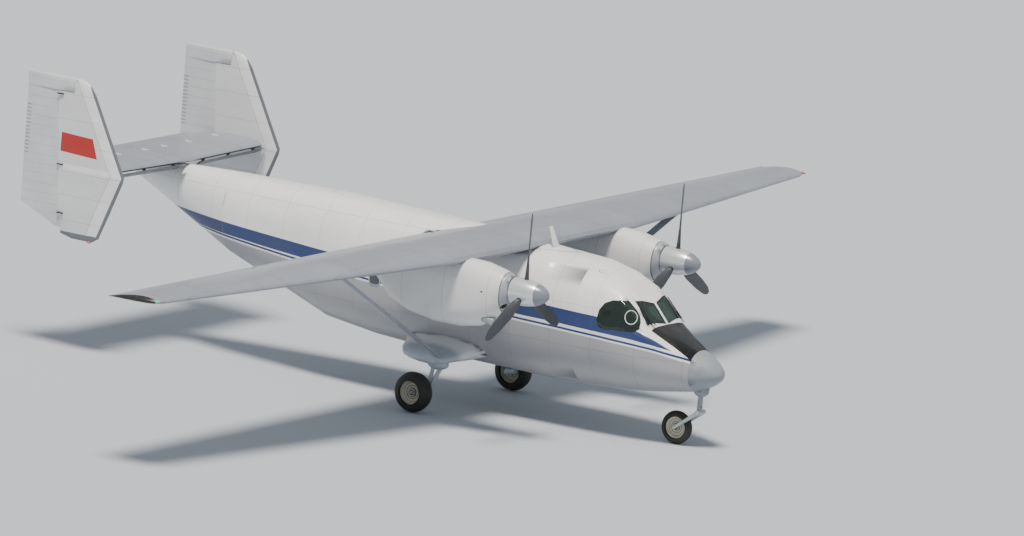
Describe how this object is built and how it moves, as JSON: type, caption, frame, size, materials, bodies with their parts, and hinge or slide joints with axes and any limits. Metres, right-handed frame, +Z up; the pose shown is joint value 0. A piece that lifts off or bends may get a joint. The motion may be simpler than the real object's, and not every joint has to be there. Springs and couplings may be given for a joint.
{
  "type": "turboprop airliner",
  "caption": "Small high-wing feeder airliner with two propeller turbines, twin fins, fixed tricycle gear on stub wings, braced wing and rear clamshell doors.",
  "frame": {"origin": "middle of the bounding box, on the ground between the wheels", "axes": "+X towards the nose, +Y towards the port wing tip, +Z up"},
  "size_m": [13.1, 22.06, 4.91],
  "materials": {
    "white_skin": "gloss white paint over aluminium skin",
    "grey_skin": "satin light grey paint over aluminium skin",
    "grey_fabric": "doped fabric over a light frame, painted light grey",
    "white_fabric": "doped fabric over a light frame, painted white",
    "radome": "light grey painted composite",
    "dark_strip": "dark grey paint",
    "glazing": "slightly green tinted glazing",
    "seat_cloth": "woven cloth",
    "panel_black": "matt black",
    "engine_iron": "bare metal block",
    "gear_steel": "silver grey painted steel",
    "blade_dark": "matt dark grey paint over aluminium alloy",
    "spinner_metal": "polished aluminium",
    "wheel_cream": "off-white paint over cast alloy",
    "tyre_black": "black rubber"
  },
  "bodies": {
    "airframe": {"cabin_shell": "white_skin", "cockpit_shell": "white_skin", "engine_left": "engine_iron", "engine_right": "engine_iron", "fin_left": "white_skin", "fin_right": "white_skin", "instrument_panel": "panel_black", "main_leg_left": "gear_steel", "main_leg_right": "gear_steel", "nacelle_left": "white_skin", "nacelle_right": "white_skin", "nose_cone": "radome", "nose_leg": "grey_skin", "pilot_seat_left": "seat_cloth", "pilot_seat_right": "seat_cloth", "side_window_left": "glazing", "side_window_right": "glazing", "strut_left": "grey_skin", "strut_right": "grey_skin", "stub_wing_left": "white_skin", "stub_wing_right": "white_skin", "tail_cone": "white_skin", "tailplane": "grey_skin", "tailplane_slat_left": "dark_strip", "tailplane_slat_right": "dark_strip", "windscreen_left": "glazing", "windscreen_right": "glazing", "wing_centre": "grey_skin", "wing_left": "grey_skin", "wing_right": "grey_skin"},
    "propeller_left": {"spinner_left": "spinner_metal", "propeller_left": "blade_dark"},
    "propeller_right": {"spinner_right": "spinner_metal", "propeller_right": "blade_dark"},
    "main_wheel_left": {"main_wheel_left_tyre": "tyre_black", "main_wheel_left_rim": "wheel_cream"},
    "main_wheel_right": {"main_wheel_right_tyre": "tyre_black", "main_wheel_right_rim": "wheel_cream"},
    "nose_fork": {"nose_fork": "gear_steel"},
    "nose_wheel": {"nose_wheel_tyre": "tyre_black", "nose_wheel_rim": "wheel_cream"},
    "flaps_left": {"flap_inner_left": "grey_skin", "flap_outer_left": "grey_skin"},
    "flaps_right": {"flap_inner_right": "grey_skin", "flap_outer_right": "grey_skin"},
    "aileron_left": {"aileron_left": "grey_fabric"},
    "aileron_right": {"aileron_right": "grey_fabric"},
    "elevator": {"elevator_left": "grey_fabric", "elevator_right": "grey_fabric"},
    "rudder_left": {"rudder_left": "white_fabric"},
    "rudder_right": {"rudder_right": "white_fabric"},
    "rear_door_left": {"rear_door_left": "white_skin"},
    "rear_door_right": {"rear_door_right": "white_skin"}
  },
  "joints": [
    {"name": "propeller_spin_left", "type": "hinge", "parent": "airframe", "child": "propeller_left", "pos_m": [3.945, 2.6, 2.67], "axis": [1, 0, 0], "continuous": true},
    {"name": "propeller_spin_right", "type": "hinge", "parent": "airframe", "child": "propeller_right", "pos_m": [3.945, -2.6, 2.67], "axis": [1, 0, 0], "continuous": true},
    {"name": "main_wheel_spin_left", "type": "hinge", "parent": "airframe", "child": "main_wheel_left", "pos_m": [1.345, 1.7, 0.36], "axis": [0, 1, 0], "continuous": true},
    {"name": "main_wheel_spin_right", "type": "hinge", "parent": "airframe", "child": "main_wheel_right", "pos_m": [1.345, -1.7, 0.36], "axis": [0, 1, 0], "continuous": true},
    {"name": "nose_steer", "type": "hinge", "parent": "airframe", "child": "nose_fork", "pos_m": [6.145, 0, 0.735], "axis": [0, 0, 1], "range_deg": [-50, 50]},
    {"name": "nose_wheel_spin", "type": "hinge", "parent": "nose_fork", "child": "nose_wheel", "pos_m": [5.725, 0, 0.2975], "axis": [0, 1, 0], "continuous": true},
    {"name": "flap_left", "type": "hinge", "parent": "airframe", "child": "flaps_left", "pos_m": [1.055, 3.885, 3.01128], "axis": [0, -1, 0], "range_deg": [0, 40]},
    {"name": "flap_right", "type": "hinge", "parent": "airframe", "child": "flaps_right", "pos_m": [1.055, -3.885, 3.01128], "axis": [0, -1, 0], "range_deg": [0, 40]},
    {"name": "aileron_left", "type": "hinge", "parent": "airframe", "child": "aileron_left", "pos_m": [1.025, 6.86, 3.00665], "axis": [0.036, -0.9993, 0.0049], "range_deg": [-20, 20]},
    {"name": "aileron_right", "type": "hinge", "parent": "airframe", "child": "aileron_right", "pos_m": [1.025, -6.86, 3.00665], "axis": [-0.036, -0.9993, -0.0049], "range_deg": [-20, 20]},
    {"name": "elevator", "type": "hinge", "parent": "airframe", "child": "elevator", "pos_m": [-5.799, 0, 3.335], "axis": [0, -1, 0], "range_deg": [-25, 20]},
    {"name": "rudder_left", "type": "hinge", "parent": "airframe", "child": "rudder_left", "pos_m": [-5.675, 2.6, 2.21], "axis": [-0.0894, 0, 0.996], "range_deg": [-25, 25]},
    {"name": "rudder_right", "type": "hinge", "parent": "airframe", "child": "rudder_right", "pos_m": [-5.675, -2.6, 2.21], "axis": [-0.0894, 0, 0.996], "range_deg": [-25, 25]},
    {"name": "rear_door_left", "type": "hinge", "parent": "airframe", "child": "rear_door_left", "pos_m": [-1.355, 0.50858, 1.21681], "axis": [0.9435, 0.0844, -0.3205], "range_deg": [0, 90]},
    {"name": "rear_door_right", "type": "hinge", "parent": "airframe", "child": "rear_door_right", "pos_m": [-1.355, -0.50858, 1.21681], "axis": [-0.9435, 0.0844, 0.3205], "range_deg": [0, 90]}
  ],
  "couplings": [
    {"joint": "flap_right", "follows": "flap_left", "ratio": 1},
    {"joint": "aileron_right", "follows": "aileron_left", "ratio": -1},
    {"joint": "rudder_right", "follows": "rudder_left", "ratio": 1}
  ]
}
